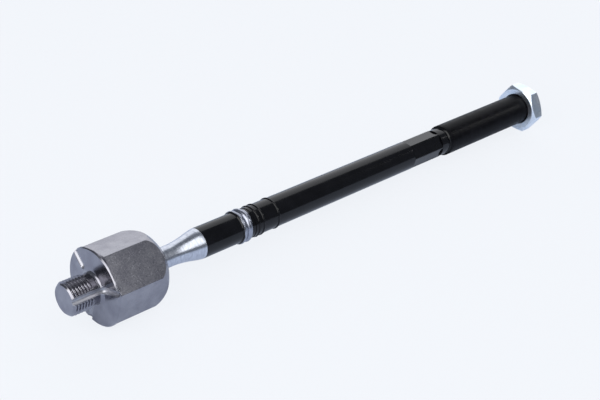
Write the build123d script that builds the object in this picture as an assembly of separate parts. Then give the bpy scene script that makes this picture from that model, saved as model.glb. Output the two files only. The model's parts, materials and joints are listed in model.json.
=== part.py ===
from build123d import *
from math import radians, tan
import os

# Inner tie rod. X is the axis of the rod, from the rack stud to the wheel end, and Z is up.
# The origin is the centre of the face that seats on the steering rack. Millimetres.

# Rack stud, M16 x 1.5
stud_radius = 8.0
stud_length = 15.4
stud_chamfer = 1.2
stud_thread_run_out = 5.0
stud_relief_radius = 7.15
stud_fillet_radius = 1.8
flute_radius = 1.8
flute_depth = 1.6
flute_angle = 67.0

# Housing, a forged hexagonal cup
housing_radius = 18.6
housing_across_flats = 32.0
housing_length = 32.0
housing_face_chamfer = 0.6
housing_turn = 42.0
flat_start = 0.3
flat_slope_length = 1.7
shoulder_start = 22.5
shoulder_crown_along = 0.62
shoulder_crown_out = 0.68
lip_outer_radius = 12.6
lip_inner_radius = 11.0
lip_edge = 0.6
breather_radius = 1.8
breather_depth = 1.3
breather_inner_radius = 11.3
breather_count = 3

# Ball joint
ball_radius = 12.0
ball_centre = 19.0
race_wall = 1.4
running_gap = 0.05
race_mouth_offset = 6.6
race_floor_hole_radius = 4.0
cavity_floor = 4.6
throat_start = 25.8

# Rod
neck_radius = 5.1
neck_end = 41.0
rod_radius = 7.55
cone_end = 58.6
flare_middle_along = 0.55
flare_middle_out = 0.43
flare_end_slope = 0.05
boot_ridge_radius = 8.4
boot_ridge_width = 2.6
boot_ridge_places = [80.9, 84.4]
rib_radius = 8.0
rib_width = 1.1
rib_places = [90.2, 93.1, 102.6]
boot_groove_radius = 7.3
boot_groove_end = 88.0

# Wrench hexagon on the rod
wrench_across_flats = 13.0
wrench_start = 198.4
wrench_end = 221.9
wrench_run_out = 1.4
wrench_turn = -11.0

# Wheel-end thread, M16 x 1.5, rolled on the rod's own diameter
thread_radius = 7.95
thread_relief_radius = 7.3
thread_start = 227.0
thread_tip_chamfer = 1.0
thread_tip_stand_out = 1.6

# Sleeve that covers the thread
sleeve_start = 227.9
sleeve_length = 65.6
sleeve_wall = 0.32
sleeve_edge = 0.15
thread_gap = 0.03

# Lock nut
nut_across_flats = 24.0
nut_height = 8.0
nut_chamfer_angle = 30.0
nut_face_radius = 11.45
nut_bore_chamfer = 0.9

# Sizes that follow
cavity_radius = ball_radius + running_gap + race_wall + running_gap
sleeve_end = sleeve_start + sleeve_length
nut_start = sleeve_end
nut_end = nut_start + nut_height
rod_end = nut_end + thread_tip_stand_out
flat_angles = [60.0 * i for i in range(6)]

# How far a cutter reaches past the surface that it cuts
overrun = 2.0


def turned(points):
    """Revolve a closed outline of (x, radius) points about the X axis."""
    edges = Polyline(*[(x, r) for x, r in points], close=True)
    return revolve(make_face(edges), Axis.X)


def revolved(outline):
    """Revolve a closed outline of lines, arcs and curves about the X axis."""
    edges = [edge for curve in outline for edge in curve.edges()]
    return revolve(make_face(Wire(edges)), Axis.X)


def around_x(solid, degrees):
    """Turn a solid about the X axis."""
    return Rot(degrees, 0, 0) * solid


def hexagon_bar(across_flats, start, end):
    """A hexagonal bar along X, with a flat at the top and one at the bottom."""
    plane = Plane(origin=(start, 0, 0), x_dir=(0, 1, 0), z_dir=(1, 0, 0))
    outline = RegularPolygon(across_flats / 2, 6, major_radius=False, rotation=0)
    bar = extrude(plane * outline, end - start)
    return bar


def stud_housing():
    """The forged cup and its rack stud, one piece."""
    relief_start = -stud_thread_run_out + stud_radius - stud_relief_radius
    fillet_top = stud_relief_radius + stud_fillet_radius
    fillet_centre = (-stud_fillet_radius, fillet_top)
    threaded_end = [
        (-stud_length, 0),
        (-stud_length, stud_radius - stud_chamfer),
        (-stud_length + stud_chamfer, stud_radius),
        (-stud_thread_run_out, stud_radius),
        (relief_start, stud_relief_radius),
        (-stud_fillet_radius, stud_relief_radius),
    ]
    stud_outline = [
        Polyline(*threaded_end),
        CenterArc(fillet_centre, stud_fillet_radius, 270, 90),
        Polyline((0, fillet_top), (cavity_floor / 2, fillet_top), (cavity_floor / 2, 0), (-stud_length, 0)),
    ]
    stud = revolved(stud_outline)
    # The outside is one turned profile, with the shoulder rolled over the ball
    chamfer_point = (housing_face_chamfer, housing_radius)
    lip_point = (housing_length - lip_edge, lip_outer_radius)
    shoulder_mid = (
        shoulder_start + shoulder_crown_along * (lip_point[0] - shoulder_start),
        lip_point[1] + shoulder_crown_out * (housing_radius - lip_point[1]),
    )
    outline = [
        Line((0, 0), (0, housing_radius - housing_face_chamfer)),
        Line((0, housing_radius - housing_face_chamfer), chamfer_point),
        Line(chamfer_point, (shoulder_start, housing_radius)),
        ThreePointArc((shoulder_start, housing_radius), shoulder_mid, lip_point),
        Line(lip_point, (housing_length, lip_outer_radius - lip_edge)),
        Line((housing_length, lip_outer_radius - lip_edge), (housing_length, 0)),
        Line((housing_length, 0), (0, 0)),
    ]
    cup = revolved(outline)
    # Six wrench flats that run out just behind the seating face
    flat_distance = housing_across_flats / 2
    flat_profile = Polyline(
        (flat_start, housing_radius),
        (flat_start + flat_slope_length, flat_distance),
        (housing_length + overrun, flat_distance),
        (housing_length + overrun, housing_radius + overrun),
        (flat_start, housing_radius + overrun),
        close=True,
    )
    cutter = extrude(Plane.XZ * make_face(flat_profile), housing_radius, both=True)
    for angle in flat_angles:
        cup -= around_x(cutter, housing_turn + angle)
    # The bore for the bearing shell, closed towards the mouth by the rolled shoulder
    cup -= turned(
        [
            (cavity_floor, 0),
            (cavity_floor, cavity_radius),
            (throat_start, cavity_radius),
            (housing_length - 2 * lip_edge, lip_inner_radius),
            (housing_length, lip_inner_radius + lip_edge),
            (housing_length + overrun, lip_inner_radius + lip_edge),
            (housing_length + overrun, 0),
        ]
    )
    body = cup + stud
    # Breather grooves in the seating face, of round section, spaced evenly
    groove_length = housing_radius + overrun - breather_inner_radius
    groove_middle = breather_inner_radius + groove_length / 2
    groove_height = breather_depth - breather_radius
    for i in range(breather_count):
        groove = Pos(groove_height, 0, groove_middle) * Cylinder(breather_radius, groove_length)
        round_end = Pos(groove_height, 0, breather_inner_radius) * Sphere(breather_radius)
        body -= around_x(groove + round_end, flute_angle + i * 360 / breather_count)
    # The flute along the stud, which opens into one of the grooves
    flute_axis = stud_radius + flute_radius - flute_depth
    flute_end = breather_depth - flute_radius
    flute_length = stud_length + overrun + flute_end
    flute = Cylinder(flute_radius, flute_length, rotation=(0, 90, 0))
    flute = Pos(flute_end - flute_length / 2, 0, flute_axis) * flute
    flute += Pos(flute_end, 0, flute_axis) * Sphere(flute_radius)
    body -= around_x(flute, flute_angle)
    return body


def ball_race():
    """The bearing shell between ball and cup: round outside, spherical inside."""
    outer = cavity_radius - running_gap
    inner = ball_radius + running_gap
    floor = cavity_floor + running_gap
    mouth = ball_centre + race_mouth_offset
    section = [
        (floor, race_floor_hole_radius),
        (floor, outer),
        (mouth, outer),
        (mouth, race_floor_hole_radius),
    ]
    shell = turned(section)
    shell -= Pos(ball_centre, 0, 0) * Sphere(inner)
    return shell


def ball_rod():
    """Ball, neck, cone, boot seat, rod, wrench hexagon and thread, forged and turned from one bar."""
    ball = Pos(ball_centre, 0, 0) * Sphere(ball_radius)
    # Slender neck that flares into the rod along a smooth curve
    neck_start = ball_centre + ball_radius / 2
    flare_middle = (
        neck_end + flare_middle_along * (cone_end - neck_end),
        neck_radius + flare_middle_out * (rod_radius - neck_radius),
    )
    flare = Spline(
        (neck_end, neck_radius),
        flare_middle,
        (cone_end, rod_radius),
        tangents=((1, 0), (1, flare_end_slope)),
    )
    threaded_end = [
        (cone_end, rod_radius),
        (wrench_end, rod_radius),
        (wrench_end, thread_relief_radius),
        (thread_start, thread_relief_radius),
        (thread_start + thread_radius - thread_relief_radius, thread_radius),
        (rod_end - thread_tip_chamfer, thread_radius),
        (rod_end, thread_radius - thread_tip_chamfer),
        (rod_end, 0),
        (neck_start, 0),
    ]
    outline = [
        Polyline((neck_start, 0), (neck_start, neck_radius), (neck_end, neck_radius)),
        flare,
        Polyline(*threaded_end),
    ]
    shank = revolved(outline)
    # Wrench flats
    flat_distance = wrench_across_flats / 2
    depth = rod_radius - flat_distance
    flat_profile = Polyline(
        (wrench_start, rod_radius + depth),
        (wrench_start + wrench_run_out, flat_distance),
        (wrench_end, flat_distance),
        (wrench_end, rod_radius + overrun),
        (wrench_start, rod_radius + overrun),
        close=True,
    )
    cutter = extrude(Plane.XZ * make_face(flat_profile), rod_radius, both=True)
    for angle in flat_angles:
        shank -= around_x(cutter, wrench_turn + angle)
    # Groove behind the boot ridges, then the ridges and ribs that hold the boot
    first_ridge = boot_ridge_places[0]
    shank -= turned(
        [
            (first_ridge, boot_groove_radius),
            (first_ridge, rod_radius + overrun),
            (boot_groove_end, rod_radius + overrun),
            (boot_groove_end, boot_groove_radius),
        ]
    )
    rod = ball + shank
    for place in boot_ridge_places:
        rod += ring(place, neck_radius, boot_ridge_radius, boot_ridge_width)
    for place in rib_places:
        rod += ring(place, neck_radius, rib_radius, rib_width)
    return rod


def ring(place, inner, outer, width):
    """A raised ring with a rounded crown, centred at a place along X."""
    root = outer - width / 3
    outline = [
        Line((place - width / 2, inner), (place - width / 2, root)),
        ThreePointArc((place - width / 2, root), (place, outer), (place + width / 2, root)),
        Line((place + width / 2, root), (place + width / 2, inner)),
        Line((place + width / 2, inner), (place - width / 2, inner)),
    ]
    return revolved(outline)


def thread_sleeve():
    """The thin plastic sleeve that covers the wheel-end thread."""
    bore = thread_radius + thread_gap
    outside = bore + sleeve_wall
    outline = [
        (sleeve_start, bore),
        (sleeve_start, outside - sleeve_edge),
        (sleeve_start + sleeve_edge, outside),
        (sleeve_end - sleeve_edge, outside),
        (sleeve_end, outside - sleeve_edge),
        (sleeve_end, bore),
    ]
    return turned(outline)


def lock_nut():
    """The hexagonal lock nut, with its corners turned off at both faces."""
    envelope_radius = nut_across_flats / 3**0.5 + overrun
    rise = (envelope_radius - nut_face_radius) * tan(radians(nut_chamfer_angle))
    nut = hexagon_bar(nut_across_flats, nut_start, nut_end)
    nut &= turned(
        [
            (nut_start, 0),
            (nut_start, nut_face_radius),
            (nut_start + rise, envelope_radius),
            (nut_end - rise, envelope_radius),
            (nut_end, nut_face_radius),
            (nut_end, 0),
        ]
    )
    bore = thread_radius + thread_gap
    nut -= turned(
        [
            (nut_start, 0),
            (nut_start, bore + nut_bore_chamfer),
            (nut_start + nut_bore_chamfer, bore),
            (nut_end - nut_bore_chamfer, bore),
            (nut_end, bore + nut_bore_chamfer),
            (nut_end, 0),
        ]
    )
    return nut


pieces = {
    "stud_housing": stud_housing(),
    "ball_race": ball_race(),
    "ball_rod": ball_rod(),
    "thread_sleeve": thread_sleeve(),
    "lock_nut": lock_nut(),
}

os.makedirs("parts", exist_ok=True)
for name, solid in pieces.items():
    export_step(solid, f"parts/{name}.step")
    box = solid.bounding_box()
    print(name, "volume", round(solid.volume, 1), "from", box.min, "to", box.max)
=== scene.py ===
"""Inner tie rod: hexagonal ball housing with its rack stud, slender rod, sleeved end thread and lock nut.

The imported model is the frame. X is the axis of the rod, from the rack stud to the wheel end, and Z is up.
Sizes are in millimetres, and meshes are in metres. An angle round the axis is measured from +Z towards -Y.
"""

from __future__ import annotations

import json
import logging
import math
from dataclasses import dataclass
from enum import Enum
from typing import Any

import bpy
import numpy as np
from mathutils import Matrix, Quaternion, Vector

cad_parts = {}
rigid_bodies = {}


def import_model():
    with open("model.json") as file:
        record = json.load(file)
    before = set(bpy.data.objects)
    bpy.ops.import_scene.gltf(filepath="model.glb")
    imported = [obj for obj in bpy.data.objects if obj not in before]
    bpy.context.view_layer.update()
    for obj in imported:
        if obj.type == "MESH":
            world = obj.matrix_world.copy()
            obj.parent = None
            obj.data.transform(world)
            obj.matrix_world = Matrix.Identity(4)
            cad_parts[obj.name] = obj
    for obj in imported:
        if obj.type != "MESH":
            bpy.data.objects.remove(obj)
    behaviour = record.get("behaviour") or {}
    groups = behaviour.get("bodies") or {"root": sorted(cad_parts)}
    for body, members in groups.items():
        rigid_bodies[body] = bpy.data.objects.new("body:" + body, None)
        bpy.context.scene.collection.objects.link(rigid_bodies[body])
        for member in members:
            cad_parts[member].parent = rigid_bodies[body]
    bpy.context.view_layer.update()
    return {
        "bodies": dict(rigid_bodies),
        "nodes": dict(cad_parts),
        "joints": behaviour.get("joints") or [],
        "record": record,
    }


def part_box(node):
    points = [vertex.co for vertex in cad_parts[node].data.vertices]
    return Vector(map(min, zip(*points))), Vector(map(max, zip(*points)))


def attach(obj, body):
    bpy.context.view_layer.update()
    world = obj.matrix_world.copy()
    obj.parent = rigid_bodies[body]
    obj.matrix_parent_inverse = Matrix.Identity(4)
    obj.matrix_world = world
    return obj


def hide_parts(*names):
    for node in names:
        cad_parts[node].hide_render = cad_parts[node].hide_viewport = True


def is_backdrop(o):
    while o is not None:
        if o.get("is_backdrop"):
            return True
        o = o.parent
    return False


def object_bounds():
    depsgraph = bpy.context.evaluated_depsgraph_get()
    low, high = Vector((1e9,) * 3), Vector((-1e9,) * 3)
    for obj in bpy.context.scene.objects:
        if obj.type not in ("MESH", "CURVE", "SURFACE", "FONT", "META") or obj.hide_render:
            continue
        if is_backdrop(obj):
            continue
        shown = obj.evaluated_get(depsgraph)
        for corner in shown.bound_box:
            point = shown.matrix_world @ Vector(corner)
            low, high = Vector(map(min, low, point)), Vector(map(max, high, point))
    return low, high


Tree = bpy.types.NodeTree
Socket = bpy.types.NodeSocket

LOG = logging.getLogger("inner_tie_rod")
MM = 0.001
FLATS = 6
SECTOR = 2 * math.pi / FLATS
SHARP_ANGLE = math.radians(28.0)

# Rows on the two sides of a sharp edge of an outline are this far apart, or a few times this far.
HAIR = 0.01

# Shares of a metric thread's pitch: the flat at its root, the flat at its crest, and its depth
THREAD_ROOT = 0.25
THREAD_CREST = 0.125
THREAD_DEPTH = 0.6134

# The flute along the stud: how far its centre is from the axis, and at which angle in degrees
FLUTE_AXIS = 8.2
FLUTE_ANGLE = 67.0

# Octaves of a plain noise
DETAIL = 3.0

# A noise node gives about 0.3 to 0.7. These are the ends of the range that a Map Range node reads from it:
# the whole, or the middle, which gives a harder pattern.
WHOLE = {1: 0.3, 2: 0.7}
MIDDLE = {1: 0.35, 2: 0.65}


class Ends(Enum):
    """How the first and last rows of a turned grid close."""

    POLES = "each end row closes on one point on the axis"
    LOOP = "the last row joins the first, as round a ring"


@dataclass(frozen=True)
class Grid:
    """A surface round the X axis: one row for each step along the outline, one column for each angle."""

    along: np.ndarray
    radius: np.ndarray
    angle: np.ndarray


def linear(code: str) -> tuple[float, float, float, float]:
    """Turn an sRGB hex colour into linear light.

    Args:
        code: Six hex digits after a hash sign.

    Returns:
        Linear red, green and blue, and an alpha of 1.
    """
    shares = np.array([int(code[i : i + 2], 16) for i in (1, 3, 5)]) / 255
    light = np.where(shares <= 0.04045, shares / 12.92, ((shares + 0.055) / 1.055) ** 2.4)
    return (float(light[0]), float(light[1]), float(light[2]), 1.0)


def per_size(millimetres: float) -> float:
    """Texture scale at which one feature of a noise is this many millimetres wide."""
    return 1 / (millimetres * MM)


def smooth(share: np.ndarray) -> np.ndarray:
    """Ease from 0 to 1 with a cubic that is level at both ends."""
    share = np.clip(share, 0, 1)
    return share * share * (3 - 2 * share)


def steps(count: int) -> np.ndarray:
    """Shares that rise evenly from 0 and stop one step short of 1, in one column."""
    return np.arange(count)[:, None] / count


def even_angles(count: int) -> np.ndarray:
    """Angles of columns spaced evenly round the axis, in one row."""
    return np.arange(count)[None, :] * 2 * math.pi / count


def straight(start: tuple[float, float], end: tuple[float, float], rows: int) -> np.ndarray:
    """Points on a straight stretch of an outline, without its end point.

    Args:
        start: First (x, radius) point.
        end: The (x, radius) point where the next stretch starts.
        rows: Number of points.

    Returns:
        An array of (x, radius) rows.
    """
    share = steps(rows)
    return np.array(start) * (1 - share) + np.array(end) * share


def arc(centre: tuple[float, float], radius: float, first: float, last: float, rows: int) -> np.ndarray:
    """Points on a round stretch of an outline: centre plus radius times (cosine, sine), without the last.

    Args:
        centre: The (x, radius) centre.
        radius: The arc's radius.
        first: First angle in degrees.
        last: Last angle in degrees, which the next stretch starts with.
        rows: Number of points.

    Returns:
        An array of (x, radius) rows.
    """
    turn = np.radians(first + (last - first) * np.arange(rows) / rows)
    return np.stack([centre[0] + radius * np.cos(turn), centre[1] + radius * np.sin(turn)], 1)


def circle_through(points: np.ndarray) -> tuple[np.ndarray, float]:
    """Centre and radius of the circle through three points, from its equation x2 + y2 = 2ax + 2by + c.

    Args:
        points: Three rows of (x, radius).

    Returns:
        The (x, radius) centre and the radius.
    """
    equations = np.column_stack([2 * points, np.ones(3)])
    a, b, c = np.linalg.solve(equations, (points**2).sum(1))
    return np.array([a, b]), math.sqrt(c + a * a + b * b)


def from_flat(angle: np.ndarray, turn: float = 0.0) -> np.ndarray:
    """Signed angle from the middle of the nearest of six flats, the first of which is at turn."""
    return (angle - turn + SECTOR / 2) % SECTOR - SECTOR / 2


def hexagon(angle: np.ndarray, across_flats: float, corner_radius: float, turn: float = 0.0) -> np.ndarray:
    """Distance from the axis to a hexagon with rounded corners, along each angle.

    On a flat it is half the width across flats over the cosine of the angle from the flat's middle. Near a
    corner it is the far crossing of the ray with the corner's circle.

    Args:
        angle: Angles round the axis.
        across_flats: Width across flats.
        corner_radius: Radius of each rounded corner.
        turn: Angle of the first flat's middle.

    Returns:
        The distance at each angle.
    """
    offset = np.abs(from_flat(angle, turn))
    flat = across_flats / 2 / np.cos(offset)
    from_corner = SECTOR / 2 - offset
    centre = (across_flats / 2 - corner_radius) / math.cos(SECTOR / 2)
    inside = np.maximum(corner_radius**2 - (centre * np.sin(from_corner)) ** 2, 0)
    rounded = centre * np.cos(from_corner) + np.sqrt(inside)
    near = rounded * np.sin(from_corner) < corner_radius * math.sin(SECTOR / 2)
    return np.where(near, rounded, flat)


@dataclass(frozen=True)
class Thread:
    """An ISO metric outside thread, right-handed about +X."""

    crest: float
    pitch: float

    def radius(self, along: np.ndarray, angle: np.ndarray) -> np.ndarray:
        """Radius of the thread: a trapezium wave along x that moves on by one pitch in a turn.

        The root flat is a quarter of the pitch, the crest flat an eighth, and the depth 0.6134 of the pitch.

        Args:
            along: Place along the axis.
            angle: Angle round the axis.

        Returns:
            The radius at each point.
        """
        phase = (along / self.pitch - angle / (2 * math.pi)) % 1
        height = np.clip((np.abs(2 * phase - 1) - THREAD_ROOT) / (1 - THREAD_ROOT - THREAD_CREST), 0, 1)
        return self.crest - THREAD_DEPTH * self.pitch * (1 - height)


def level(points: np.ndarray, angle: np.ndarray) -> Grid:
    """Carry an outline of (x, radius) rows round the axis, the same at every angle."""
    ones = np.ones((1, angle.shape[-1]))
    return Grid(points[:, :1] * ones, points[:, 1:] * ones, np.ones((len(points), 1)) * angle)


def stacked(grids: list[Grid]) -> Grid:
    """Put the rows of several grids one after the other.

    Args:
        grids: The grids, with the same number of columns.

    Returns:
        One grid.
    """
    return Grid(
        np.vstack([g.along for g in grids]),
        np.vstack([g.radius for g in grids]),
        np.vstack([g.angle for g in grids]),
    )


def turned_object(name: str, grid: Grid, ends: Ends) -> bpy.types.Object:
    """Make a closed mesh of a grid round the X axis.

    A point is (x, -radius sin angle, radius cos angle). Each cell is a quad whose corners go first with the
    angle and then along the rows, so that it faces outwards where the outline runs along +X outside the
    material.

    Args:
        name: Name of the piece.
        grid: Rows and columns in millimetres and radians.
        ends: How the end rows close.

    Returns:
        The object, at the origin, with its place in its mesh.
    """
    rows, columns = grid.along.shape
    points = np.stack(
        [grid.along, -grid.radius * np.sin(grid.angle), grid.radius * np.cos(grid.angle)], 2
    ).reshape(-1, 3)
    index = np.arange(rows * columns).reshape(rows, columns)
    after = np.roll(index, -1, axis=1)
    if ends is Ends.LOOP:
        lower, upper = index, np.roll(index, -1, axis=0)
        lower_after, upper_after = after, np.roll(after, -1, axis=0)
        fans = np.zeros((0, 3), int)
    else:
        lower, upper, lower_after, upper_after = index[:-1], index[1:], after[:-1], after[1:]
        poles = np.array([[grid.along[0].mean(), 0, 0], [grid.along[-1].mean(), 0, 0]])
        points = np.vstack([points, poles])
        first, last = rows * columns, rows * columns + 1
        fans = np.vstack(
            [
                np.stack([np.full(columns, first), after[0], index[0]], 1),
                np.stack([np.full(columns, last), index[-1], after[-1]], 1),
            ]
        )
    quads = np.stack([lower, lower_after, upper_after, upper], 2).reshape(-1, 4)
    mesh = bpy.data.meshes.new(name)
    mesh.vertices.add(len(points))
    mesh.vertices.foreach_set("co", (points * MM).astype(np.float32).ravel())
    corners = np.concatenate([quads.ravel(), fans.ravel()]).astype(np.int32)
    starts = np.concatenate([np.arange(len(quads)) * 4, len(quads) * 4 + np.arange(len(fans)) * 3])
    mesh.loops.add(len(corners))
    mesh.loops.foreach_set("vertex_index", corners)
    mesh.polygons.add(len(starts))
    mesh.polygons.foreach_set("loop_start", starts.astype(np.int32))
    mesh.update(calc_edges=True)
    mesh.validate()
    mesh.shade_smooth()
    mesh.set_sharp_from_angle(angle=SHARP_ANGLE)
    made = bpy.data.objects.new(name, mesh)
    bpy.context.scene.collection.objects.link(made)
    return made


def add(
    tree: Tree,
    kind: str,
    inputs: dict[str | int, Any] | None = None,
    output: str | int = 0,
    **settings: Any,
) -> Socket | None:
    """Add a shader node with its settings, values and links.

    Args:
        tree: The node tree.
        kind: Blender's type name of the node, after its ShaderNode.
        inputs: For each input, another node's output socket, a value, or a colour as a hex code.
        output: The output that is wanted.
        settings: Attributes of the node.

    Returns:
        The output's socket, or nothing for a node that ends a tree.
    """
    made = tree.nodes.new("ShaderNode" + kind)
    for name, value in settings.items():
        setattr(made, name, value)
    for key, value in (inputs or {}).items():
        if isinstance(value, Socket):
            tree.links.new(value, made.inputs[key])
        else:
            made.inputs[key].default_value = linear(value) if isinstance(value, str) else value
    return made.outputs[output] if made.outputs else None


@dataclass(frozen=True)
class Finish:
    """A surface finish: a material built from procedural nodes on Object coordinates."""

    name: str

    def material(self) -> bpy.types.Material:
        """Build the material.

        Returns:
            The material, with its surface linked.
        """
        made = bpy.data.materials.new(self.name)
        made.use_nodes = True
        tree = made.node_tree
        tree.nodes.clear()
        place = add(tree, "TexCoord", output="Object")
        add(tree, "OutputMaterial", {"Surface": self.surface(tree, place)})
        return made

    def surface(self, tree: Tree, place: Socket) -> Socket:
        """Add the finish's own nodes.

        Args:
            tree: The material's node tree.
            place: The Object coordinates.

        Returns:
            The shader's output socket.
        """
        raise NotImplementedError


@dataclass(frozen=True)
class BareForging(Finish):
    """Forged and machined bare steel with a film of oil.

    It gives the eye a flat satin grey with faint clouds and fine pits in the forged skin, a smoother turned
    seating face in which the stud shows as a soft dark reflection, and paler, duller steel where a cutter
    milled the flute and the breather grooves. Each pair of sizes is where an edge of the milled steel
    starts and ends.
    """

    light: str = "#9A999F"
    dark: str = "#88878F"
    milled: str = "#B4B4BA"
    flat_roughness: float = 0.24
    roughness_drift: float = 0.04
    face_roughness: float = 0.2
    milled_roughness: float = 0.42
    cloud_size: float = 7.0
    pit_size: float = 0.9
    pit_detail: float = 5.0
    pit_depth: float = 0.005
    pit_strength: float = 0.3
    ring_spacing: float = 1.1
    ring_depth: float = 0.006
    ring_strength: float = 0.25
    face_depth: float = 0.25
    flute_axis: float = FLUTE_AXIS
    flute_angle: float = FLUTE_ANGLE
    flute_edge: tuple[float, float] = (1.9, 2.0)
    groove_mouth: tuple[float, float] = (0.1, 0.3)
    groove_bottom: tuple[float, float] = (1.5, 1.6)
    groove_end: tuple[float, float] = (17.6, 17.9)

    def cut(self, tree: Tree, along: Socket, across: Socket) -> Socket:
        """A share of 1 where steel is milled: close to the flute's axis, and in the grooves, inside the rim.

        Args:
            tree: The material's node tree.
            along: Place along the axis.
            across: Place across the axis, as a vector.

        Returns:
            The share's socket.
        """
        turn = math.radians(self.flute_angle)
        middle = (0.0, -self.flute_axis * MM * math.sin(turn), self.flute_axis * MM * math.cos(turn))
        from_flute = add(tree, "VectorMath", {0: across, 1: middle}, "Value", operation="DISTANCE")
        radius = add(tree, "VectorMath", {0: across}, "Value", operation="LENGTH")
        edges = []
        for value, (start, end), first in (
            (from_flute, self.flute_edge, 1),
            (along, self.groove_mouth, 0),
            (along, self.groove_bottom, 1),
            (radius, self.groove_end, 1),
        ):
            sizes = {0: value, 1: start * MM, 2: end * MM, 3: first, 4: 1 - first}
            edges.append(add(tree, "MapRange", sizes))
        flute, mouth, bottom, rim = edges
        deep = add(tree, "Math", {0: mouth, 1: bottom}, operation="MULTIPLY")
        grooves = add(tree, "Math", {0: deep, 1: rim}, operation="MULTIPLY")
        return add(tree, "Math", {0: flute, 1: grooves}, operation="MAXIMUM")

    def surface(self, tree: Tree, place: Socket) -> Socket:
        """Clouds and pits all over, turned rings round the axis on the seating face, and milled steel.

        Args:
            tree: The material's node tree.
            place: The Object coordinates.

        Returns:
            The shader's output socket.
        """
        axes = add(tree, "SeparateXYZ", {0: place}).node.outputs
        across = add(tree, "CombineXYZ", {1: axes[1], 2: axes[2]})
        radius = add(tree, "VectorMath", {0: across}, "Value", operation="LENGTH")
        machined = add(tree, "MapRange", {0: axes[0], 1: 0.0, 2: self.face_depth * MM, 3: 1, 4: 0})
        milled = self.cut(tree, axes[0], across)
        coarse = {"Vector": place, "Scale": per_size(self.cloud_size), "Detail": DETAIL}
        clouds = add(tree, "TexNoise", coarse)
        finer = {"Vector": place, "Scale": per_size(self.pit_size), "Detail": self.pit_detail}
        pits = add(tree, "TexNoise", finer)
        shade = add(tree, "MapRange", {0: clouds, **MIDDLE})
        forged = add(tree, "Mix", {0: shade, 6: self.dark, 7: self.light}, 2, data_type="RGBA")
        colour = add(tree, "Mix", {0: milled, 6: forged, 7: self.milled}, 2, data_type="RGBA")
        drift = add(tree, "MapRange", {0: pits, **WHOLE, 3: -self.roughness_drift, 4: self.roughness_drift})
        rough = add(tree, "Math", {0: drift, 1: self.flat_roughness}, operation="ADD")
        rough = add(tree, "Mix", {0: machined, 2: rough, 3: self.face_roughness})
        rough = add(tree, "Mix", {0: milled, 2: rough, 3: self.milled_roughness})
        # The real turning marks are under 0.2 mm apart; they are drawn coarser so that they show.
        spacing = 2 * math.pi * per_size(self.ring_spacing)
        turns = add(tree, "Math", {0: radius, 1: spacing}, operation="MULTIPLY")
        waves = add(tree, "Math", {0: turns}, operation="SINE")
        rings = add(tree, "Math", {0: waves, 1: machined}, operation="MULTIPLY")
        marks = {"Strength": self.ring_strength, "Distance": self.ring_depth * MM, "Height": rings}
        skin = {"Strength": self.pit_strength, "Distance": self.pit_depth * MM, "Height": pits}
        normal = add(tree, "Bump", skin | {"Normal": add(tree, "Bump", marks)})
        sockets = {"Base Color": colour, "Metallic": 1.0, "Roughness": rough, "Normal": normal}
        return add(tree, "BsdfPrincipled", sockets)


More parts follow.
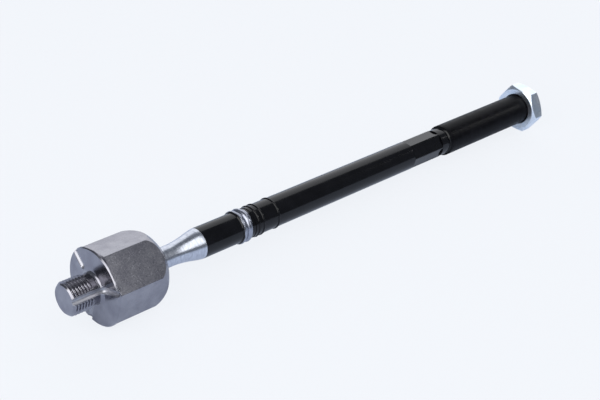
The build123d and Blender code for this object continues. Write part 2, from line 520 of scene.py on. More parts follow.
@dataclass(frozen=True)
class CoatedBar(Finish):
    """Drawn steel bar: black dip coating, with a zinc plated cone and a boot seat turned bare.

    It gives the eye a deep satin black that mirrors light only along its edges, a bright cone that ends in
    a crisp line, and a duller bare ring between the boot ridges, where the coating ends in a slightly wavy,
    slanted edge.
    """

    coat: str = "#08080B"
    coat_high: str = "#0D0D11"
    bright: str = "#CDD1DA"
    bright_low: str = "#B4B8C3"
    turned: str = "#A3A6B1"
    cone_edge: float = 57.9
    seat_start: float = 80.3
    seat_end: float = 85.2
    seat_slant: float = 0.2
    edge_softness: float = 0.25
    waviness: float = 0.5
    wave_size: float = 4.0
    coat_roughness: tuple[float, float] = (0.09, 0.18)
    coat_shine: float = 0.3
    bright_roughness: float = 0.26
    cloud_size: float = 9.0
    streak_size: float = 0.7
    streak_stretch: float = 4.0
    streak_detail: float = 4.0
    streak_depth: float = 0.008
    streak_strength: float = 0.3
    peel_size: float = 1.8
    peel_depth: float = 0.03
    peel_strength: float = 0.2

    def bare(self, tree: Tree, place: Socket) -> tuple[Socket, Socket]:
        """Shares of 1 on all the bare metal, and on the boot seat alone.

        Each edge is a ramp along x. The seat's two edges wander with a noise, and its far edge leans with z.

        Args:
            tree: The material's node tree.
            place: The Object coordinates.

        Returns:
            The sockets of the two shares.
        """
        axes = add(tree, "SeparateXYZ", {0: place}).node.outputs
        waves = add(tree, "TexNoise", {"Vector": place, "Scale": per_size(self.wave_size), "Detail": DETAIL})
        sway = self.waviness / 2 * MM
        drift = add(tree, "MapRange", {0: waves, **WHOLE, 3: -sway, 4: sway})
        wavy = add(tree, "Math", {0: axes[0], 1: drift}, operation="ADD")
        lean = add(tree, "Math", {0: axes[2], 1: self.seat_slant}, operation="MULTIPLY")
        slanted = add(tree, "Math", {0: wavy, 1: lean}, operation="SUBTRACT")
        edges = []
        for value, at, first in (
            (axes[0], self.cone_edge, 1),
            (wavy, self.seat_start, 0),
            (slanted, self.seat_end, 1),
        ):
            start, end = (at - self.edge_softness / 2) * MM, (at + self.edge_softness / 2) * MM
            edges.append(add(tree, "MapRange", {0: value, 1: start, 2: end, 3: first, 4: 1 - first}))
        seat = add(tree, "Math", {0: edges[1], 1: edges[2]}, operation="MULTIPLY")
        return add(tree, "Math", {0: edges[0], 1: seat}, operation="MAXIMUM"), seat

    def surface(self, tree: Tree, place: Socket) -> Socket:
        """Bare where x is on the cone or the boot seat, with streaks round the bar, and coated elsewhere.

        Args:
            tree: The material's node tree.
            place: The Object coordinates.

        Returns:
            The shader's output socket.
        """
        bare, seat = self.bare(tree, place)
        long = 1 / self.streak_stretch
        stretched = add(tree, "Mapping", {"Vector": place, "Scale": (1.0, long, long)})
        finer = {"Vector": stretched, "Scale": per_size(self.streak_size), "Detail": self.streak_detail}
        streaks = add(tree, "TexNoise", finer)
        clouds, peel = (
            add(tree, "TexNoise", {"Vector": place, "Scale": per_size(size), "Detail": DETAIL})
            for size in (self.cloud_size, self.peel_size)
        )
        shade = add(tree, "MapRange", {0: streaks, **MIDDLE})
        zinc = add(tree, "Mix", {0: shade, 6: self.bright_low, 7: self.bright}, 2, data_type="RGBA")
        steel = add(tree, "Mix", {0: seat, 6: zinc, 7: self.turned}, 2, data_type="RGBA")
        depth = add(tree, "MapRange", {0: clouds, **MIDDLE})
        black = add(tree, "Mix", {0: depth, 6: self.coat, 7: self.coat_high}, 2, data_type="RGBA")
        smoothest, roughest = self.coat_roughness
        satin = add(tree, "MapRange", {0: clouds, **WHOLE, 3: smoothest, 4: roughest})
        drawn = {"Strength": self.streak_strength, "Distance": self.streak_depth * MM, "Height": streaks}
        dipped = {"Strength": self.peel_strength, "Distance": self.peel_depth * MM, "Height": peel}
        sockets = {
            "Base Color": add(tree, "Mix", {0: bare, 6: black, 7: steel}, 2, data_type="RGBA"),
            "Metallic": bare,
            "Roughness": add(tree, "Mix", {0: bare, 2: satin, 3: self.bright_roughness}),
            "Specular IOR Level": self.coat_shine,
            "Normal": add(tree, "Bump", dipped | {"Normal": add(tree, "Bump", drawn)}),
        }
        return add(tree, "BsdfPrincipled", sockets)


@dataclass(frozen=True)
class SoftSleeve(Finish):
    """Black polyethylene sleeve, drawn tight over the thread.

    It gives the eye a dull black with one soft line of light, in which the thread below shows as a faint
    ripple.
    """

    black: str = "#0B0B0E"
    worn: str = "#131317"
    wear: tuple[float, float] = (0.4, 0.7)
    shine: float = 0.06
    roughness: tuple[float, float] = (0.31, 0.44)
    cloud_size: float = 3.0
    ripple: float = 1.5
    ripple_depth: float = 0.02
    grain_size: float = 0.5
    grain_depth: float = 0.02
    strength: float = 0.3

    def surface(self, tree: Tree, place: Socket) -> Socket:
        """A moulded grain, cloudy wear, and a ripple along x at the pitch of the thread.

        Args:
            tree: The material's node tree.
            place: The Object coordinates.

        Returns:
            The shader's output socket.
        """
        along = add(tree, "SeparateXYZ", {0: place})
        clouds, grains = (
            add(tree, "TexNoise", {"Vector": place, "Scale": per_size(size), "Detail": DETAIL})
            for size in (self.cloud_size, self.grain_size)
        )
        worn = add(tree, "MapRange", {0: clouds, 1: self.wear[0], 2: self.wear[1]})
        spacing = 2 * math.pi * per_size(self.ripple)
        turns = add(tree, "Math", {0: along, 1: spacing}, operation="MULTIPLY")
        waves = add(tree, "Math", {0: turns}, operation="SINE")
        rippled = {"Strength": self.strength, "Distance": self.ripple_depth * MM, "Height": waves}
        moulded = {"Strength": self.strength, "Distance": self.grain_depth * MM, "Height": grains}
        smoothest, roughest = self.roughness
        sockets = {
            "Base Color": add(tree, "Mix", {0: worn, 6: self.black, 7: self.worn}, 2, data_type="RGBA"),
            "Roughness": add(tree, "MapRange", {0: clouds, **WHOLE, 3: smoothest, 4: roughest}),
            "Specular IOR Level": self.shine,
            "Normal": add(tree, "Bump", moulded | {"Normal": add(tree, "Bump", rippled)}),
        }
        return add(tree, "BsdfPrincipled", sockets)


@dataclass(frozen=True)
class BrightZinc(Finish):
    """Steel, electroplated with zinc and passivated clear blue.

    It gives the eye an almost white metal with a cold tint that drifts a little from place to place.
    """

    pale: str = "#F0F4F8"
    blue: str = "#D8E4F0"
    roughness: tuple[float, float] = (0.26, 0.36)
    tint_size: float = 6.0
    grain_size: float = 0.6
    grain_detail: float = 4.0
    grain_depth: float = 0.01
    grain_strength: float = 0.4

    def surface(self, tree: Tree, place: Socket) -> Socket:
        """A drifting tint, with fine grains from the plating bath.

        Args:
            tree: The material's node tree.
            place: The Object coordinates.

        Returns:
            The shader's output socket.
        """
        clouds = add(tree, "TexNoise", {"Vector": place, "Scale": per_size(self.tint_size), "Detail": DETAIL})
        finer = {"Vector": place, "Scale": per_size(self.grain_size), "Detail": self.grain_detail}
        grains = add(tree, "TexNoise", finer)
        tint = add(tree, "MapRange", {0: clouds, **MIDDLE})
        plated = {"Strength": self.grain_strength, "Distance": self.grain_depth * MM, "Height": grains}
        smoothest, roughest = self.roughness
        sockets = {
            "Base Color": add(tree, "Mix", {0: tint, 6: self.blue, 7: self.pale}, 2, data_type="RGBA"),
            "Metallic": 1.0,
            "Roughness": add(tree, "MapRange", {0: grains, **WHOLE, 3: smoothest, 4: roughest}),
            "Normal": add(tree, "Bump", plated),
        }
        return add(tree, "BsdfPrincipled", sockets)


@dataclass(frozen=True)
class MouldedAcetal(Finish):
    """Acetal, injection moulded and greased: off-white, waxy and slightly clouded."""

    pale: str = "#E6E1D2"
    grease: str = "#CFC39A"
    greased: tuple[float, float] = (0.45, 0.6)
    roughness: tuple[float, float] = (0.3, 0.15)
    smeared: tuple[float, float] = (0.4, 0.6)
    patch_size: float = 5.0
    grain_size: float = 0.8
    grain_depth: float = 0.02
    grain_strength: float = 0.3

    def surface(self, tree: Tree, place: Socket) -> Socket:
        """Patches of grease, which is darker and smoother, over a moulded skin.

        Args:
            tree: The material's node tree.
            place: The Object coordinates.

        Returns:
            The shader's output socket.
        """
        patches, grains = (
            add(tree, "TexNoise", {"Vector": place, "Scale": per_size(size), "Detail": DETAIL})
            for size in (self.patch_size, self.grain_size)
        )
        share = add(tree, "MapRange", {0: patches, 1: self.greased[0], 2: self.greased[1]})
        smooth_by = {0: patches, 1: self.smeared[0], 2: self.smeared[1]}
        moulded = {"Strength": self.grain_strength, "Distance": self.grain_depth * MM, "Height": grains}
        sockets = {
            "Base Color": add(tree, "Mix", {0: share, 6: self.pale, 7: self.grease}, 2, data_type="RGBA"),
            "Roughness": add(tree, "MapRange", smooth_by | {3: self.roughness[0], 4: self.roughness[1]}),
            "Normal": add(tree, "Bump", moulded),
        }
        return add(tree, "BsdfPrincipled", sockets)


@dataclass(frozen=True)
class WhiteCard(Finish):
    """White card, matt, for the floor of the studio.

    It takes a faint shadow and shows in metal as a pale sheet that ends near the rod. The camera sees
    through most of it to the equally pale world behind, and the lamps reach what lies under it, so that a
    rod that swings down past it still shows. Nothing above it gets more light for that. Its sizes are in
    metres.
    """

    paper: str = "#F5F8FD"
    seen_through: float = 0.9
    mirrored: str = "#E2ECFF"
    mirrored_share: float = 0.32
    sheet_radius: float = 0.42
    sheet_fade: float = 0.35
    sheet_beyond: float = 0.12

    def surface(self, tree: Tree, place: Socket) -> Socket:
        """Card that fades with distance from the origin, thin for the camera and for light on what lies below.

        Args:
            tree: The material's node tree.
            place: The Object coordinates.

        Returns:
            The shader's output socket.
        """
        away = add(tree, "VectorMath", {0: place}, "Value", operation="LENGTH")
        edge = self.sheet_radius + self.sheet_fade
        sheet = add(tree, "MapRange", {0: away, 1: self.sheet_radius, 2: edge, 3: 1, 4: self.sheet_beyond})
        path = add(tree, "LightPath").node.outputs
        seen = path["Is Camera Ray"]
        colour = add(tree, "Mix", {0: seen, 6: self.mirrored, 7: self.paper}, 2, data_type="RGBA")
        lit = add(tree, "BsdfDiffuse", {"Color": colour})
        plain = add(tree, "Emission", {"Color": colour, "Strength": sheet})
        share = add(tree, "Math", {0: path["Is Glossy Ray"], 1: self.mirrored_share}, operation="MULTIPLY")
        card = add(tree, "MixShader", {0: share, 1: lit, 2: plain})
        thin = {0: sheet, 1: self.seen_through - 1, 2: 1}
        gone = add(tree, "Math", thin, operation="MULTIPLY_ADD")
        gone = add(tree, "Math", {0: gone, 1: seen}, operation="MULTIPLY")
        under = add(tree, "NewGeometry", output="Backfacing")
        below = add(tree, "Math", {0: under, 1: path["Is Shadow Ray"]}, operation="MULTIPLY")
        gone = add(tree, "Math", {0: gone, 1: below}, operation="MAXIMUM")
        return add(tree, "MixShader", {0: gone, 1: card, 2: add(tree, "BsdfTransparent")})


def settle(made: bpy.types.Object, finish: Finish, body: str, slot: str, *nodes: str) -> bpy.types.Object:
    """Give a piece its finish and its body, and hide the CAD nodes that it stands for.

    Args:
        made: The piece.
        finish: Its finish.
        body: The body that it rides on.
        slot: The record's material slot; not used.
        nodes: CAD nodes that it stands for.

    Returns:
        The piece.
    """
    made.data.materials.append(finish.material())
    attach(made, body)
    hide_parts(*nodes)
    LOG.info("%s: %d faces on body %s", made.name, len(made.data.polygons), body)
    return made


@dataclass
class StudHousing:
    """The forged hexagonal cup with its threaded rack stud, in one piece."""

    stud: Thread = Thread(8.0, 1.5)
    stud_length: float = 15.4
    stud_chamfer: float = 1.2
    run_out: float = 5.0
    relief_radius: float = 7.15
    fillet: float = 1.8
    flute_radius: float = 1.8
    flute_axis: float = FLUTE_AXIS
    flute_angle: float = FLUTE_ANGLE
    radius: float = 18.6
    length: float = 32.0
    across_flats: float = 32.0
    corner_radius: float = 0.4
    turn: float = 42.0
    rim_chamfer: float = 0.6
    flat_start: float = 0.3
    flat_bottom: float = 2.0
    shoulder_start: float = 22.5
    shoulder_crown: tuple[float, float] = (28.018, 16.68)
    lip_outer: float = 12.6
    lip_inner: float = 11.0
    lip_edge: float = 0.6
    groove_radius: float = 1.8
    groove_depth: float = 1.3
    groove_start: float = 11.3
    grooves: int = 3
    cavity_radius: float = 13.5
    cavity_floor: float = 4.6
    throat_start: float = 25.8
    groove_columns: int = 22
    corner_columns: int = 6
    flat_step: float = 2.0
    thread_rows: int = 12
    fillet_rows: int = 9
    face_rows: int = 22
    dome_rows: int = 14

    def columns(self) -> np.ndarray:
        """Angles of the columns at the rim, close together across each corner and groove, wider on the flats.

        The edges of every groove and of every rounded corner are columns. Between two edges the columns are
        evenly spaced, by the finest step of the grooves and corners that lie there, or by the step of the
        flats.

        Returns:
            The angles in one row, rising all the way round.
        """
        whole = 2 * math.pi
        groove_edge = float(self.edge_angle(np.array(self.radius)))
        corner_edge = math.asin(self.corner_radius / self.across_flats)
        spans = []
        for i in range(self.grooves):
            middle = math.radians(self.flute_angle) + i * whole / self.grooves
            spans.append((middle, groove_edge, 2 * groove_edge / self.groove_columns))
        for i in range(FLATS):
            middle = math.radians(self.turn) + SECTOR * (i + 0.5)
            spans.append((middle, corner_edge, 2 * corner_edge / self.corner_columns))
        edges = sorted((middle + side * edge) % whole for middle, edge, _ in spans for side in (-1, 1))
        angles = []
        for start, end in zip(edges, edges[1:] + [edges[0] + whole]):
            between = (start + end) / 2
            step = math.radians(self.flat_step)
            for middle, edge, finer in spans:
                if abs((between - middle + math.pi) % whole - math.pi) < edge:
                    step = min(step, finer)
            count = max(1, round((end - start) / step))
            angles.append(start + (end - start) * np.arange(count) / count)
        return np.concatenate(angles)[None, :]

    def edge_angle(self, radius: np.ndarray) -> np.ndarray:
        """Half the angle that a groove takes at a radius: the arcsine of its half width over the radius."""
        drop = self.groove_radius - self.groove_depth
        return np.arcsin(math.sqrt(self.groove_radius**2 - drop**2) / radius)

    def from_groove(self, angle: np.ndarray) -> np.ndarray:
        """Signed angle from the nearest groove."""
        sector = 2 * math.pi / self.grooves
        return (angle - math.radians(self.flute_angle) + sector / 2) % sector - sector / 2

    def narrowed(self, angle: np.ndarray, radius: np.ndarray) -> np.ndarray:
        """Move the columns so that those across a groove stay parallel to it at every radius.

        A column over a groove keeps its distance from the groove's middle, so its angle is the arcsine of
        that distance over the radius. The others spread evenly over what is left.

        Args:
            angle: Angles at the rim, in one row.
            radius: Radius of each row, in one column.

        Returns:
            The angle of each point.
        """
        offset = self.from_groove(angle)
        rim_edge, edge = self.edge_angle(np.array(self.radius)), self.edge_angle(radius)
        inside = np.arcsin(np.clip(self.radius * np.sin(np.clip(np.abs(offset), 0, rim_edge)) / radius, 0, 1))
        half = math.pi / self.grooves
        outside = edge + (np.abs(offset) - rim_edge) / (half - rim_edge) * (half - edge)
        moved = np.where(np.abs(offset) <= rim_edge, inside, outside) * np.sign(offset)
        return angle - offset + moved

    def by_flute(self, angle: np.ndarray) -> np.ndarray:
        """True within 45 degrees of the groove that the flute opens into."""
        return np.abs(angle - math.radians(self.flute_angle)) < math.pi / 4

    def flute_floor(self, angle: np.ndarray) -> np.ndarray:
        """Radius of the flute's floor: the near crossing of a ray with its circle, or far out beside it.

        Args:
            angle: Angle of each point.

        Returns:
            The radius at each point.
        """
        offset = angle - math.radians(self.flute_angle)
        gap = self.flute_radius**2 - (self.flute_axis * np.sin(offset)) ** 2
        near = self.flute_axis * np.cos(offset) - np.sqrt(np.maximum(gap, 0))
        return np.where((gap > 0) & (np.abs(offset) < math.pi / 2), near, np.inf)

    def groove_floor(self, angle: np.ndarray, radius: np.ndarray) -> np.ndarray:
        """Depth of the grooves below the seating face.

        A groove is a round channel that starts in a ball's end: the depth is the square root of its radius
        squared less the squares of the distances from its middle line, less the height of its axis. The
        groove that the flute opens into has no ball end.

        Args:
            angle: Angle of each point.
            radius: Radius of each point.

        Returns:
            The depth of each point.
        """
        offset = self.from_groove(angle)
        side = radius * np.sin(offset)
        short = np.minimum(radius * np.cos(offset) - self.groove_start, 0)
        back = np.where(self.by_flute(angle), 0, short)
        inside = self.groove_radius**2 - side**2 - back**2
        return np.maximum(np.sqrt(np.maximum(inside, 0)) - (self.groove_radius - self.groove_depth), 0)

    def stud_grid(self, rim: np.ndarray) -> Grid:
        """The stud: end face, chamfer, thread and relief, each row the smallest of the radii that cut it.

        Args:
            rim: Angles of the columns at the rim.

        Returns:
            The rows from the end face to the fillet.
        """
        thread_end = -self.run_out + self.stud.crest - self.relief_radius
        tip = self.stud.crest - self.stud_chamfer
        face = straight((-self.stud_length, tip / 3), (-self.stud_length, tip), 3)
        rows = round((thread_end + self.stud_length) * self.thread_rows / self.stud.pitch)
        shank = straight((-self.stud_length, tip), (thread_end, self.stud.crest), rows)
        neck = straight((thread_end, self.relief_radius), (-self.fillet, self.relief_radius), 4)
        angle = self.narrowed(rim, np.full((len(face) + len(shank) + len(neck), 1), self.stud.crest))
        x = level(np.vstack([face, shank, neck]), rim).along
        radius = np.minimum(self.stud.radius(x, angle), tip + x + self.stud_length)
        radius = np.minimum(radius, np.maximum(self.stud.crest - (x + self.run_out), self.relief_radius))
        radius = np.where(x >= thread_end, self.relief_radius, radius)
        radius[: len(face)] = face[:, 1:]
        return Grid(x, np.minimum(radius, self.flute_floor(angle)), angle)

    def face_grid(self, rim: np.ndarray) -> Grid:
        """The fillet at the stud's root and the seating face, sunk along their normals by flute and grooves.

        Args:
            rim: Angles of the columns at the rim.

        Returns:
            The rows from the fillet to the rim's chamfer.
        """
        turn = -math.pi / 2 * (1 - steps(self.fillet_rows))
        centre = (-self.fillet, self.relief_radius + self.fillet)
        base = arc(centre, self.fillet, -90, 0, self.fillet_rows)
        at = self.narrowed(rim, np.maximum(base[:, 1:], self.stud.crest))
        flute = np.maximum(self.relief_radius - self.flute_floor(at), 0)
        groove = self.groove_floor(at, np.full_like(at, centre[1])) * self.by_flute(at)
        share = smooth(steps(self.fillet_rows))
        depth = flute * (1 - share) + groove * share
        fillet = Grid(base[:, :1] + depth * np.cos(turn), base[:, 1:] + depth * np.sin(turn), at)
        radii = centre[1] + (self.radius - self.rim_chamfer - centre[1]) * steps(self.face_rows)
        at = self.narrowed(rim, radii)
        radius = radii * np.ones_like(at)
        return stacked([fillet, Grid(self.groove_floor(at, radius), radius, at)])

    def outside(self, x: np.ndarray, rim: np.ndarray) -> np.ndarray:
        """Radius outside the rim: the smallest of chamfer, round rim, and flat or the slope of its run-out.

        Args:
            x: Place of each point along the axis.
            rim: Angles of the columns.

        Returns:
            The radius of each point.
        """
        turn = math.radians(self.turn)
        fall = (self.radius - self.across_flats / 2) / (self.flat_bottom - self.flat_start)
        slope = (self.radius - (x - self.flat_start) * fall) / np.cos(from_flat(rim, turn))
        flat = np.maximum(slope, hexagon(rim, self.across_flats, self.corner_radius, turn))
        return np.minimum(np.minimum(self.radius - self.rim_chamfer + x, self.radius), flat)

    def outside_grid(self, rim: np.ndarray) -> Grid:
        """The rim, flats and shoulder, with rows that follow the edges where the surfaces meet.

        The slope of a flat leaves the rim's chamfer or its round side where their equations in x agree, and
        the shoulder's arc leaves a flat where its radius is the flat's.

        Args:
            rim: Angles of the columns.

        Returns:
            The rows from the seating face's edge to the lip.
        """
        turn = math.radians(self.turn)
        away = np.cos(from_flat(rim, turn))
        fall = (self.radius - self.across_flats / 2) / (self.flat_bottom - self.flat_start)
        side = self.flat_start + self.radius * (1 - away) / fall
        inner = self.radius - self.rim_chamfer
        meets = (self.radius + self.flat_start * fall - inner * away) / (fall + away)
        edge = np.where(side >= self.rim_chamfer, side, meets)
        chamfer = np.minimum(self.rim_chamfer, edge - 2 * HAIR)
        hexagonal = hexagon(rim, self.across_flats, self.corner_radius, turn)
        lip = (self.length - self.lip_edge, self.lip_outer)
        points = np.array([(self.shoulder_start, self.radius), self.shoulder_crown, lip])
        centre, bend = circle_through(points)
        shoulder = centre[0] + np.sqrt(bend**2 - (hexagonal - centre[1]) ** 2)
        nought = np.zeros_like(rim)
        stops = [(nought, chamfer, 3), (chamfer, edge, 3), (edge, nought + self.flat_bottom, 4)]
        stops.append((nought + self.flat_bottom + 2 * HAIR, shoulder, 10))
        x = np.vstack([a + (b - a) * steps(n) for a, b, n in stops])
        depth = self.groove_floor(rim, np.full_like(rim, self.radius))
        x = x + depth * np.clip(1 - x / (2 * self.groove_depth), 0, 1)
        body = Grid(x, self.outside(x, rim), rim * np.ones_like(x))
        first = np.arctan2(hexagonal - centre[1], shoulder - centre[0])
        last = math.atan2(lip[1] - centre[1], lip[0] - centre[0])
        swing = first + (last - first) * steps(self.dome_rows)
        dome = Grid(centre[0] + bend * np.cos(swing), centre[1] + bend * np.sin(swing), rim + 0 * swing)
        return stacked([body, dome])

    def inside_grid(self, rim: np.ndarray) -> Grid:
        """The rolled lip, the throat and the cavity, ending near the axis on the cavity's floor.

        Args:
            rim: Angles of the columns.

        Returns:
            The rows from the lip inwards.
        """
        lip = (self.length - self.lip_edge, self.lip_outer - self.lip_edge)
        face, mouth = (self.length, lip[1]), (self.length, self.lip_inner + self.lip_edge)
        throat = (self.length - 2 * self.lip_edge, self.lip_inner)
        wall, floor = (self.throat_start, self.cavity_radius), (self.cavity_floor, self.cavity_radius)
        outline = [
            arc(lip, self.lip_edge, 90, 0, 4),
            straight(face, mouth, 2),
            straight(mouth, throat, 3),
            straight(throat, wall, 5),
            straight(wall, floor, 6),
            straight(floor, (self.cavity_floor, 0), 4),
        ]
        return level(np.vstack(outline), rim)

    def build(self, finish: Finish) -> bpy.types.Object:
        """Build and dress the housing.

        Args:
            finish: Its finish.

        Returns:
            The piece.
        """
        rim = self.columns()
        parts = [self.stud_grid(rim), self.face_grid(rim), self.outside_grid(rim), self.inside_grid(rim)]
        made = turned_object("StudHousing", stacked(parts), Ends.POLES)
        return settle(made, finish, "housing", "forged_steel", "stud_housing")


@dataclass
class BallRod:
    """Ball, neck, cone, boot seat, rod, wrench hexagon and end thread, forged and turned from one bar."""

    ball_radius: float = 12.0
    ball_centre: float = 19.0
    neck_radius: float = 5.1
    neck_end: float = 41.0
    radius: float = 7.55
    cone_end: float = 58.6
    flare_middle: tuple[float, float] = (0.55, 0.43)
    flare_slope: float = 1.35
    flare_end_slope: float = 0.3
    ridge_radius: float = 8.4
    ridge_width: float = 2.6
    ridges: tuple[float, ...] = (80.9, 84.4)
    rib_radius: float = 8.0
    rib_width: float = 1.1
    ribs: tuple[float, ...] = (90.2, 93.1, 102.6)
    seat_radius: float = 7.3
    seat_end: float = 88.0
    wrench_across_flats: float = 13.0
    wrench_start: float = 198.4
    wrench_end: float = 221.9
    wrench_run_out: float = 1.4
    wrench_turn: float = -11.0
    wrench_corner: float = 0.25
    relief_radius: float = 7.3
    thread_start: float = 227.0
    thread: Thread = Thread(7.95, 1.5)
    end: float = 303.1
    tip_chamfer: float = 1.0
    column_count: int = 120
    thread_rows: int = 8
    ball_first: float = 176.0
    ball_rows: int = 44
    flare_rows: int = 16
    crown_rows: int = 9

    def neck(self) -> np.ndarray:
        """Ball, neck and flare. The flare is two cubics that share a slope where they join.

        Returns:
            The outline as (x, radius) rows.
        """
        meet = math.degrees(math.asin(self.neck_radius / self.ball_radius))
        ball = arc((self.ball_centre, 0), self.ball_radius, self.ball_first, meet, self.ball_rows)
        neck_start = self.ball_centre + self.ball_radius * math.cos(math.radians(meet))
        neck = straight((neck_start, self.neck_radius), (self.neck_end, self.neck_radius), 4)
        share = steps(self.flare_rows)
        across, out = self.flare_middle
        spans = []
        for a, b, low, high, start, stop in (
            (0, across, 0, out, 0, self.flare_slope),
            (across, 1, out, 1, self.flare_slope, self.flare_end_slope),
        ):
            rise = (2 * share**3 - 3 * share**2 + 1) * low + (3 * share**2 - 2 * share**3) * high
            rise += (b - a) * ((share**3 - 2 * share**2 + share) * start + (share**3 - share**2) * stop)
            spans.append(np.hstack([a + (b - a) * share, rise]))
        flare = np.vstack(spans) * [self.cone_end - self.neck_end, self.radius - self.neck_radius]
        return np.vstack([ball, neck, flare + [self.neck_end, self.neck_radius]])

    def ringed(self) -> np.ndarray:
        """The rod from the cone to the wrench flats: ridges and ribs with round crowns on steps of two radii.

        A crown is its radius less a third of its width times the square of the share of half its width.

        Returns:
            The outline as (x, radius) rows.
        """
        rings = [(p, self.ridge_radius, self.ridge_width) for p in self.ridges]
        rings += [(p, self.rib_radius, self.rib_width) for p in self.ribs]
        rows = [(self.cone_end, self.radius)]
        for place, crown, width in rings:
            seated = place <= self.seat_end
            before = self.radius if place == self.ridges[0] or not seated else self.seat_radius
            after = self.seat_radius if seated else self.radius
            share = np.linspace(-1, 1, self.crown_rows)
            rows.append((place - width / 2 - HAIR, before))
            rows += [(place + width / 2 * s, crown - width / 3 * s * s) for s in share]
            rows.append((place + width / 2 + HAIR, after))
            if place == self.ridges[-1]:
                rows += [(self.seat_end, self.seat_radius), (self.seat_end + 5 * HAIR, self.radius)]
        shaft = straight((rows[-1][0], self.radius), (self.wrench_start, self.radius), 12)[1:]
        return np.vstack([np.array(rows), shaft])

    def wrench(self, angle: np.ndarray) -> Grid:
        """The wrench flats: rows that follow the curve where each flat's slope leaves the round bar.

        Args:
            angle: Angles of the columns.

        Returns:
            The rows of the slopes and of the flats.
        """
        turn = math.radians(self.wrench_turn)
        flat = hexagon(angle, self.wrench_across_flats, self.wrench_corner, turn)
        depth = self.radius - self.wrench_across_flats / 2
        fall = 2 * depth / self.wrench_run_out
        away = np.cos(from_flat(angle, turn))
        edge = self.wrench_start + (self.radius + depth - self.radius * away) / fall
        bottom = self.wrench_start + self.wrench_run_out
        slope_x = edge + (bottom - edge) * steps(4)
        slope_r = (self.radius + depth - (slope_x - self.wrench_start) * fall) / away
        slope = Grid(slope_x, np.minimum(slope_r, self.radius), angle * np.ones_like(slope_x))
        ones = np.ones_like(angle)
        flat_x = bottom + HAIR + (self.wrench_end - bottom) * np.linspace(0, 1, 8)[:, None] * ones
        return stacked([slope, Grid(flat_x, flat + 0 * flat_x, angle + 0 * flat_x)])

    def threaded(self, angle: np.ndarray) -> Grid:
        """Relief and rolled thread, cut by the chamfers at both ends.

        Args:
            angle: Angles of the columns.

        Returns:
            The rows from the flats to the tip.
        """
        before = (self.wrench_end + 2 * HAIR, self.relief_radius)
        relief = straight(before, (self.thread_start, self.relief_radius), 3)
        step = self.thread.pitch / self.thread_rows
        rows = round((self.end - self.thread_start) / step)
        grid = level(straight((self.thread_start, 0), (self.end + step, 0), rows + 1), angle)
        x = np.minimum(grid.along, self.end)
        tip = self.thread.crest - self.tip_chamfer
        radius = np.minimum(self.thread.radius(x, grid.angle), self.relief_radius + x - self.thread_start)
        radius = np.minimum(radius, tip + self.end - x)
        face = straight((self.end + HAIR, tip), (self.end + HAIR, 0), 3)
        return stacked([level(relief, angle), Grid(x, radius, grid.angle), level(face[1:], angle)])

    def build(self, finish: Finish) -> bpy.types.Object:
        """Build and dress the rod.

        Args:
            finish: Its finish.

        Returns:
            The piece.
        """
        angle = even_angles(self.column_count)
        shaft = level(np.vstack([self.neck(), self.ringed()]), angle)
        parts = [shaft, self.wrench(angle), self.threaded(angle)]
        made = turned_object("BallRod", stacked(parts), Ends.POLES)
        return settle(made, finish, "rod", "coated_steel", "ball_rod")


@dataclass
class ThreadSleeve:
    """The thin plastic sleeve over the wheel-end thread."""

    start: float = 227.9
    length: float = 65.6
    bore: float = 7.98
    wall: float = 0.32
    edge: float = 0.15
    column_count: int = 120
    rows: int = 24

    def build(self, finish: Finish) -> bpy.types.Object:
        """Build and dress the sleeve: one closed outline, rounded at both ends, carried round the axis.

        Args:
            finish: Its finish.

        Returns:
            The piece.
        """
        end, outside = self.start + self.length, self.bore + self.wall
        inset = outside - self.edge
        outline = [
            straight((self.start, self.bore), (self.start, inset), 2),
            arc((self.start + self.edge, inset), self.edge, 180, 90, 3),
            straight((self.start + self.edge, outside), (end - self.edge, outside), self.rows),
            arc((end - self.edge, inset), self.edge, 90, 0, 3),
            straight((end, inset), (end, self.bore), 2),
            straight((end, self.bore), (self.start, self.bore), self.rows),
        ]
        grid = level(np.vstack(outline), even_angles(self.column_count))
        made = turned_object("ThreadSleeve", grid, Ends.LOOP)
        return settle(made, finish, "rod", "sleeve_plastic", "thread_sleeve")


@dataclass
class LockNut:
    """The thin hexagonal lock nut, with its corners turned off at both faces."""

    start: float = 293.5
    height: float = 8.0
    across_flats: float = 24.0
    corner_radius: float = 0.4
    face_radius: float = 11.45
    bore: float = 7.98
    bore_chamfer: float = 0.9
    cone_angle: float = 30.0
    column_count: int = 180

    def build(self, finish: Finish) -> bpy.types.Object:
        """Build and dress the nut: face, corner cone, flats, and the same again, round to the bore.

        The cone rises from the face by the tangent of 30 degrees, so it meets a flat where its radius less
        the face's, times that tangent, is the distance from the face.

        Args:
            finish: Its finish.

        Returns:
            The piece.
        """
        angle = even_angles(self.column_count)
        end = self.start + self.height
        flat = hexagon(angle, self.across_flats, self.corner_radius)
        rise = (flat - self.face_radius) * math.tan(math.radians(self.cone_angle))
        share = steps(4)
        radius = self.face_radius + (flat - self.face_radius) * share
        front = Grid(self.start + rise * share, radius, angle + 0 * share)
        side_x = self.start + rise + (self.height - 2 * rise) * np.linspace(0, 1, 7)[:, None]
        side = Grid(side_x, flat + 0 * side_x, angle + 0 * side_x)
        back = Grid(self.start + end - front.along[::-1], front.radius[::-1], angle + 0 * share)
        face, mouth = self.face_radius - 5 * HAIR, self.bore + self.bore_chamfer
        far, near = end - self.bore_chamfer, self.start + self.bore_chamfer
        bored = [
            straight((end, face), (end, mouth), 3),
            straight((end, mouth), (far, self.bore), 2),
            straight((far, self.bore), (near, self.bore), 4),
            straight((near, self.bore), (self.start, mouth), 2),
            straight((self.start, mouth), (self.start, face), 3),
        ]
        parts = [front, side, back, level(np.vstack(bored), angle)]
        made = turned_object("LockNut", stacked(parts), Ends.LOOP)
        return settle(made, finish, "nut", "zinc_steel", "lock_nut")


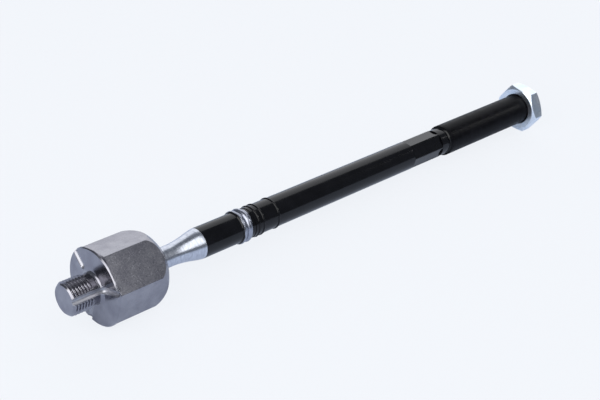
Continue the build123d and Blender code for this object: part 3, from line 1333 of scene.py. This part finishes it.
@dataclass
class BallRace:
    """The moulded bearing shell between ball and cup, as the frame has it."""

    node: str = "ball_race"

    def dress(self, frame: dict[str, Any], finish: Finish) -> bpy.types.Object:
        """Give the shell its finish.

        Args:
            frame: What the frame holds, by kind and name.
            finish: Its finish.

        Returns:
            The shell.
        """
        shell = frame["nodes"][self.node]
        shell.data.materials.clear()
        shell.data.materials.append(finish.material())
        LOG.info("%s: dressed", self.node)
        return shell


@dataclass(frozen=True)
class Lamp:
    """A soft studio lamp, aimed at the middle of the part, with its sizes in metres."""

    name: str
    towards: tuple[float, float, float]
    distance: float
    width: float
    height: float
    level: float
    colour: str = "#FFFFFF"

    def build(self, middle: Vector) -> bpy.types.Object:
        """Build the lamp. Its power is its brightness times pi times its area.

        Args:
            middle: The point that it faces.

        Returns:
            The lamp object.
        """
        data = bpy.data.lights.new(self.name, "AREA")
        data.shape = "RECTANGLE"
        data.size, data.size_y = self.width, self.height
        data.energy = self.level * math.pi * self.width * self.height
        data.color = linear(self.colour)[:3]
        made = bpy.data.objects.new(self.name, data)
        out = Vector(self.towards).normalized()
        made.location = middle + out * self.distance
        made.rotation_mode = "QUATERNION"
        made.rotation_quaternion = out.to_track_quat("Z", "Y")
        made.visible_camera = False
        bpy.context.scene.collection.objects.link(made)
        return made


@dataclass
class Studio:
    """The pale floor, the soft light and the camera of the photograph.

    The floor's sizes and the distances at which the camera's view is clipped are in metres.
    """

    card: WhiteCard = WhiteCard("White card, matt")
    floor_rings: tuple[float, ...] = (0.3, 1.0, 3.0, 9.0)
    floor_columns: int = 96
    floor_gap: float = 0.0001
    fill: str = "#C9D2E0"
    fill_level: float = 0.28
    camera_place: tuple[float, float, float] = (-263.907, -358.685, 347.967)
    camera_aim: tuple[float, float, float] = (123.175, 0.027, 0.054)
    camera_roll: float = 7.752
    camera_lens: float = 76.87
    sensor_width: float = 36.0
    clip: tuple[float, float] = (0.01, 50.0)

    def lamps(self) -> list[Lamp]:
        """A large soft lamp behind, one left, one above on the camera's side, and a strip at the wheel end.

        Returns:
            The lamps.
        """
        return [
            Lamp("Back", (0.62, 0.66, 0.42), 1.6, 2.2, 1.7, 1.18, "#FBFCFF"),
            Lamp("Left", (-0.84, -0.15, 0.52), 1.2, 1.1, 1.1, 2.6),
            Lamp("Right", (0.10, -0.56, 0.82), 1.2, 0.46, 1.3, 2.1),
            Lamp("Strip", (0.85, -0.32, 0.47), 1.2, 0.12, 0.3, 12.0),
        ]

    def floor(self) -> bpy.types.Object:
        """A disc that touches the housing's rim and the nut, which is how the part lies on a table.

        Returns:
            The floor.
        """
        rim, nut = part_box("stud_housing")[0].z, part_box("lock_nut")[0].z
        slope = (nut - rim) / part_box("lock_nut")[1].x
        turn = even_angles(self.floor_columns)
        radii = np.array(self.floor_rings)[:, None]
        x, y = radii * np.cos(turn), radii * np.sin(turn)
        points = np.stack([x, y, rim - self.floor_gap + slope * x], 2).reshape(-1, 3)
        index = np.arange(x.size).reshape(x.shape)
        after = np.roll(index, -1, axis=1)
        quads = np.stack([index[:-1], index[1:], after[1:], after[:-1]], 2).reshape(-1, 4).tolist()
        mesh = bpy.data.meshes.new("Floor")
        mesh.from_pydata(points.tolist(), [], [*quads, index[0].tolist()])
        mesh.update()
        made = bpy.data.objects.new("Floor", mesh)
        bpy.context.scene.collection.objects.link(made)
        mesh.materials.append(self.card.material())
        made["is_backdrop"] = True
        return made

    def world(self) -> bpy.types.World:
        """Pale for the camera, and a dim even fill for everything else.

        Returns:
            The world.
        """
        made = bpy.data.worlds.new("Studio")
        made.use_nodes = True
        tree = made.node_tree
        tree.nodes.clear()
        camera = add(tree, "LightPath", output="Is Camera Ray")
        fill = add(tree, "Background", {0: self.fill, 1: self.fill_level})
        pale = add(tree, "Background", {0: self.card.paper, 1: 1.0})
        mixed = add(tree, "MixShader", {0: camera, 1: fill, 2: pale})
        add(tree, "OutputWorld", {"Surface": mixed})
        bpy.context.scene.world = made
        return made

    def camera(self) -> bpy.types.Object:
        """The camera where the photograph was taken from, turned about its line of sight as that is.

        Returns:
            The camera.
        """
        data = bpy.data.cameras.new("Camera")
        data.lens, data.sensor_width, data.sensor_fit = self.camera_lens, self.sensor_width, "HORIZONTAL"
        data.clip_start, data.clip_end = self.clip
        made = bpy.data.objects.new("Camera", data)
        place, aim = Vector(self.camera_place) * MM, Vector(self.camera_aim) * MM
        made.location = place
        made.rotation_mode = "QUATERNION"
        roll = Quaternion((0, 0, 1), math.radians(self.camera_roll))
        made.rotation_quaternion = (aim - place).to_track_quat("-Z", "Y") @ roll
        bpy.context.scene.collection.objects.link(made)
        bpy.context.scene.camera = made
        return made

    def build(self) -> None:
        """Build floor, world, lamps and camera, and set the view transform."""
        self.floor()
        self.world()
        low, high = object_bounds()
        lamps = [lamp.build((low + high) / 2) for lamp in self.lamps()]
        self.camera()
        bpy.context.scene.view_settings.view_transform = "Standard"
        LOG.info("studio: %d lamps", len(lamps))


def main() -> None:
    """Build the pieces around the frame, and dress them."""
    logging.basicConfig(level=logging.INFO, format="%(name)s: %(message)s")
    for old in list(bpy.data.objects):
        bpy.data.objects.remove(old)
    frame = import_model()
    StudHousing().build(BareForging("Bare steel, forged and machined"))
    BallRod().build(CoatedBar("Steel bar, black dip coated and part zinc plated"))
    ThreadSleeve().build(SoftSleeve("Polyethylene, black sleeve"))
    LockNut().build(BrightZinc("Steel, zinc plated and blue passivated"))
    BallRace().dress(frame, MouldedAcetal("Acetal, moulded and greased"))
    Studio().build()


if __name__ == "__main__":
    main()
